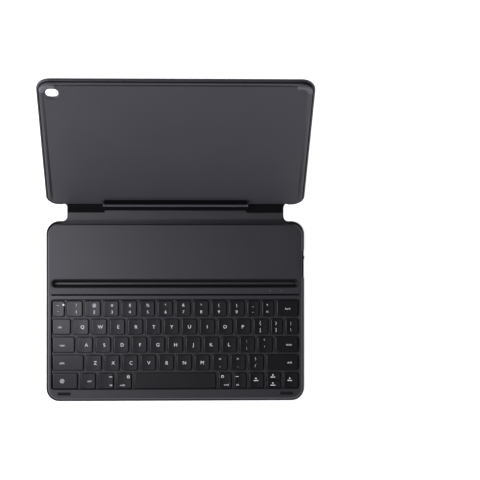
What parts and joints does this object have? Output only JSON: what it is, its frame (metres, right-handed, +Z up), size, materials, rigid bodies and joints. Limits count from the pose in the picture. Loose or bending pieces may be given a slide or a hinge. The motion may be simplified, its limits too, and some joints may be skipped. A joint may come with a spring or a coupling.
{
  "type": "tablet keyboard case",
  "caption": "Folio case for a tablet: low keyboard base, flat spine and a standing back panel with a shallow tray, corner grips and a lower lip that seats in a groove behind the keys.",
  "frame": {"origin": "on the table, under the middle of the base's flat underside", "axes": "+X to the typist's right, +Y away from the typist towards the spine, +Z up"},
  "size_m": [0.2584, 0.3092, 0.145],
  "materials": {
    "outer_skin": "polyurethane-coated fabric with a fine grain",
    "base_plastic": "matte ABS",
    "deck_plastic": "matte soft-touch ABS",
    "soft_panel": "polyurethane with a fine grain",
    "groove_plastic": "matte ABS",
    "web_plastic": "matte ABS",
    "steel": "bare stamped steel",
    "dome_rubber": "silicone",
    "scissor_plastic": "moulded acetal",
    "circuit": "glass-epoxy board",
    "cell_wrap": "laminated foil",
    "magnet": "nickel-plated magnet",
    "port_metal": "drawn stainless steel",
    "switch_plastic": "matte ABS",
    "lens": "clear acrylic",
    "bumper_rubber": "silicone",
    "board": "fibreglass-filled board",
    "tray_plastic": "matte polycarbonate",
    "liner": "polyurethane sheet",
    "grip": "thermoplastic rubber",
    "key_plastic": "satin ABS"
  },
  "bodies": {
    "base": {"cover_base": "outer_skin", "base_shell": "base_plastic", "deck_frame": "deck_plastic", "rear_panel": "soft_panel", "groove_channel": "groove_plastic", "key_web": "web_plastic", "key_backplate": "steel", "key_membrane": "dome_rubber", "scissor_links": "scissor_plastic", "circuit_board": "circuit", "battery_cells": "cell_wrap", "groove_magnets": "magnet", "port_shell": "port_metal", "power_switch": "switch_plastic", "indicator_lights": "lens", "front_bumpers": "bumper_rubber", "shell_screws": "steel"},
    "power_slider": {"switch_nub": "switch_plastic"},
    "spine": {"cover_spine": "outer_skin", "spine_board": "board"},
    "back_panel": {"cover_lower": "outer_skin", "lower_board": "board"},
    "tray": {"cover_upper": "outer_skin", "upper_board": "board", "tray_shell": "tray_plastic", "tray_liner": "liner", "corner_grips": "grip", "lip_bar": "tray_plastic", "lip_magnets": "magnet"},
    "key_q_cap": {"key_q": "key_plastic"},
    "key_w_cap": {"key_w": "key_plastic"},
    "key_e_cap": {"key_e": "key_plastic"},
    "key_r_cap": {"key_r": "key_plastic"},
    "key_t_cap": {"key_t": "key_plastic"},
    "key_y_cap": {"key_y": "key_plastic"},
    "key_u_cap": {"key_u": "key_plastic"},
    "key_i_cap": {"key_i": "key_plastic"},
    "key_o_cap": {"key_o": "key_plastic"},
    "key_p_cap": {"key_p": "key_plastic"},
    "key_a_cap": {"key_a": "key_plastic"},
    "key_s_cap": {"key_s": "key_plastic"},
    "key_d_cap": {"key_d": "key_plastic"},
    "key_f_cap": {"key_f": "key_plastic"},
    "key_g_cap": {"key_g": "key_plastic"},
    "key_h_cap": {"key_h": "key_plastic"},
    "key_j_cap": {"key_j": "key_plastic"},
    "key_k_cap": {"key_k": "key_plastic"},
    "key_l_cap": {"key_l": "key_plastic"},
    "key_z_cap": {"key_z": "key_plastic"},
    "key_x_cap": {"key_x": "key_plastic"},
    "key_c_cap": {"key_c": "key_plastic"},
    "key_v_cap": {"key_v": "key_plastic"},
    "key_b_cap": {"key_b": "key_plastic"},
    "key_n_cap": {"key_n": "key_plastic"},
    "key_m_cap": {"key_m": "key_plastic"},
    "key_space_cap": {"key_space": "key_plastic"},
    "keys_number_caps": {"keys_number": "key_plastic"},
    "keys_punctuation_caps": {"keys_punctuation": "key_plastic"},
    "keys_modifier_caps": {"keys_modifier": "key_plastic"},
    "keys_arrow_caps": {"keys_arrow": "key_plastic"}
  },
  "joints": [
    {"name": "fold_spine", "type": "hinge", "parent": "base", "child": "spine", "pos_m": [0, 0.09, 0.0005], "axis": [-1, 0, 0], "range_deg": [-90, 0]},
    {"name": "fold_cover", "type": "hinge", "parent": "spine", "child": "back_panel", "pos_m": [0, 0.108, 0.0005], "axis": [1, 0, 0], "range_deg": [-52, 59.2]},
    {"name": "fold_stand", "type": "hinge", "parent": "back_panel", "child": "tray", "pos_m": [0, 0.16957, 0.0793], "axis": [-1, 0, 0], "range_deg": [0, 47.1]},
    {"name": "power_slide", "type": "slide", "parent": "base", "child": "power_slider", "axis": [0, -1, 0], "range_m": [0, 0.002]},
    {"name": "key_q_press", "type": "slide", "parent": "base", "child": "key_q_cap", "axis": [0, 0, -1], "range_m": [0, 0.0014], "stiffness_N_per_m": 60, "springref_m": -0.002},
    {"name": "key_w_press", "type": "slide", "parent": "base", "child": "key_w_cap", "axis": [0, 0, -1], "range_m": [0, 0.0014], "stiffness_N_per_m": 60, "springref_m": -0.002},
    {"name": "key_e_press", "type": "slide", "parent": "base", "child": "key_e_cap", "axis": [0, 0, -1], "range_m": [0, 0.0014], "stiffness_N_per_m": 60, "springref_m": -0.002},
    {"name": "key_r_press", "type": "slide", "parent": "base", "child": "key_r_cap", "axis": [0, 0, -1], "range_m": [0, 0.0014], "stiffness_N_per_m": 60, "springref_m": -0.002},
    {"name": "key_t_press", "type": "slide", "parent": "base", "child": "key_t_cap", "axis": [0, 0, -1], "range_m": [0, 0.0014], "stiffness_N_per_m": 60, "springref_m": -0.002},
    {"name": "key_y_press", "type": "slide", "parent": "base", "child": "key_y_cap", "axis": [0, 0, -1], "range_m": [0, 0.0014], "stiffness_N_per_m": 60, "springref_m": -0.002},
    {"name": "key_u_press", "type": "slide", "parent": "base", "child": "key_u_cap", "axis": [0, 0, -1], "range_m": [0, 0.0014], "stiffness_N_per_m": 60, "springref_m": -0.002},
    {"name": "key_i_press", "type": "slide", "parent": "base", "child": "key_i_cap", "axis": [0, 0, -1], "range_m": [0, 0.0014], "stiffness_N_per_m": 60, "springref_m": -0.002},
    {"name": "key_o_press", "type": "slide", "parent": "base", "child": "key_o_cap", "axis": [0, 0, -1], "range_m": [0, 0.0014], "stiffness_N_per_m": 60, "springref_m": -0.002},
    {"name": "key_p_press", "type": "slide", "parent": "base", "child": "key_p_cap", "axis": [0, 0, -1], "range_m": [0, 0.0014], "stiffness_N_per_m": 60, "springref_m": -0.002},
    {"name": "key_a_press", "type": "slide", "parent": "base", "child": "key_a_cap", "axis": [0, 0, -1], "range_m": [0, 0.0014], "stiffness_N_per_m": 60, "springref_m": -0.002},
    {"name": "key_s_press", "type": "slide", "parent": "base", "child": "key_s_cap", "axis": [0, 0, -1], "range_m": [0, 0.0014], "stiffness_N_per_m": 60, "springref_m": -0.002},
    {"name": "key_d_press", "type": "slide", "parent": "base", "child": "key_d_cap", "axis": [0, 0, -1], "range_m": [0, 0.0014], "stiffness_N_per_m": 60, "springref_m": -0.002},
    {"name": "key_f_press", "type": "slide", "parent": "base", "child": "key_f_cap", "axis": [0, 0, -1], "range_m": [0, 0.0014], "stiffness_N_per_m": 60, "springref_m": -0.002},
    {"name": "key_g_press", "type": "slide", "parent": "base", "child": "key_g_cap", "axis": [0, 0, -1], "range_m": [0, 0.0014], "stiffness_N_per_m": 60, "springref_m": -0.002},
    {"name": "key_h_press", "type": "slide", "parent": "base", "child": "key_h_cap", "axis": [0, 0, -1], "range_m": [0, 0.0014], "stiffness_N_per_m": 60, "springref_m": -0.002},
    {"name": "key_j_press", "type": "slide", "parent": "base", "child": "key_j_cap", "axis": [0, 0, -1], "range_m": [0, 0.0014], "stiffness_N_per_m": 60, "springref_m": -0.002},
    {"name": "key_k_press", "type": "slide", "parent": "base", "child": "key_k_cap", "axis": [0, 0, -1], "range_m": [0, 0.0014], "stiffness_N_per_m": 60, "springref_m": -0.002},
    {"name": "key_l_press", "type": "slide", "parent": "base", "child": "key_l_cap", "axis": [0, 0, -1], "range_m": [0, 0.0014], "stiffness_N_per_m": 60, "springref_m": -0.002},
    {"name": "key_z_press", "type": "slide", "parent": "base", "child": "key_z_cap", "axis": [0, 0, -1], "range_m": [0, 0.0014], "stiffness_N_per_m": 60, "springref_m": -0.002},
    {"name": "key_x_press", "type": "slide", "parent": "base", "child": "key_x_cap", "axis": [0, 0, -1], "range_m": [0, 0.0014], "stiffness_N_per_m": 60, "springref_m": -0.002},
    {"name": "key_c_press", "type": "slide", "parent": "base", "child": "key_c_cap", "axis": [0, 0, -1], "range_m": [0, 0.0014], "stiffness_N_per_m": 60, "springref_m": -0.002},
    {"name": "key_v_press", "type": "slide", "parent": "base", "child": "key_v_cap", "axis": [0, 0, -1], "range_m": [0, 0.0014], "stiffness_N_per_m": 60, "springref_m": -0.002},
    {"name": "key_b_press", "type": "slide", "parent": "base", "child": "key_b_cap", "axis": [0, 0, -1], "range_m": [0, 0.0014], "stiffness_N_per_m": 60, "springref_m": -0.002},
    {"name": "key_n_press", "type": "slide", "parent": "base", "child": "key_n_cap", "axis": [0, 0, -1], "range_m": [0, 0.0014], "stiffness_N_per_m": 60, "springref_m": -0.002},
    {"name": "key_m_press", "type": "slide", "parent": "base", "child": "key_m_cap", "axis": [0, 0, -1], "range_m": [0, 0.0014], "stiffness_N_per_m": 60, "springref_m": -0.002},
    {"name": "key_space_press", "type": "slide", "parent": "base", "child": "key_space_cap", "axis": [0, 0, -1], "range_m": [0, 0.0014], "stiffness_N_per_m": 180, "springref_m": -0.002},
    {"name": "keys_number_press", "type": "slide", "parent": "base", "child": "keys_number_caps", "axis": [0, 0, -1], "range_m": [0, 0.0014], "stiffness_N_per_m": 780, "springref_m": -0.002},
    {"name": "keys_punctuation_press", "type": "slide", "parent": "base", "child": "keys_punctuation_caps", "axis": [0, 0, -1], "range_m": [0, 0.0014], "stiffness_N_per_m": 480, "springref_m": -0.002},
    {"name": "keys_modifier_press", "type": "slide", "parent": "base", "child": "keys_modifier_caps", "axis": [0, 0, -1], "range_m": [0, 0.0014], "stiffness_N_per_m": 720, "springref_m": -0.002},
    {"name": "keys_arrow_press", "type": "slide", "parent": "base", "child": "keys_arrow_caps", "axis": [0, 0, -1], "range_m": [0, 0.0014], "stiffness_N_per_m": 240, "springref_m": -0.002}
  ]
}
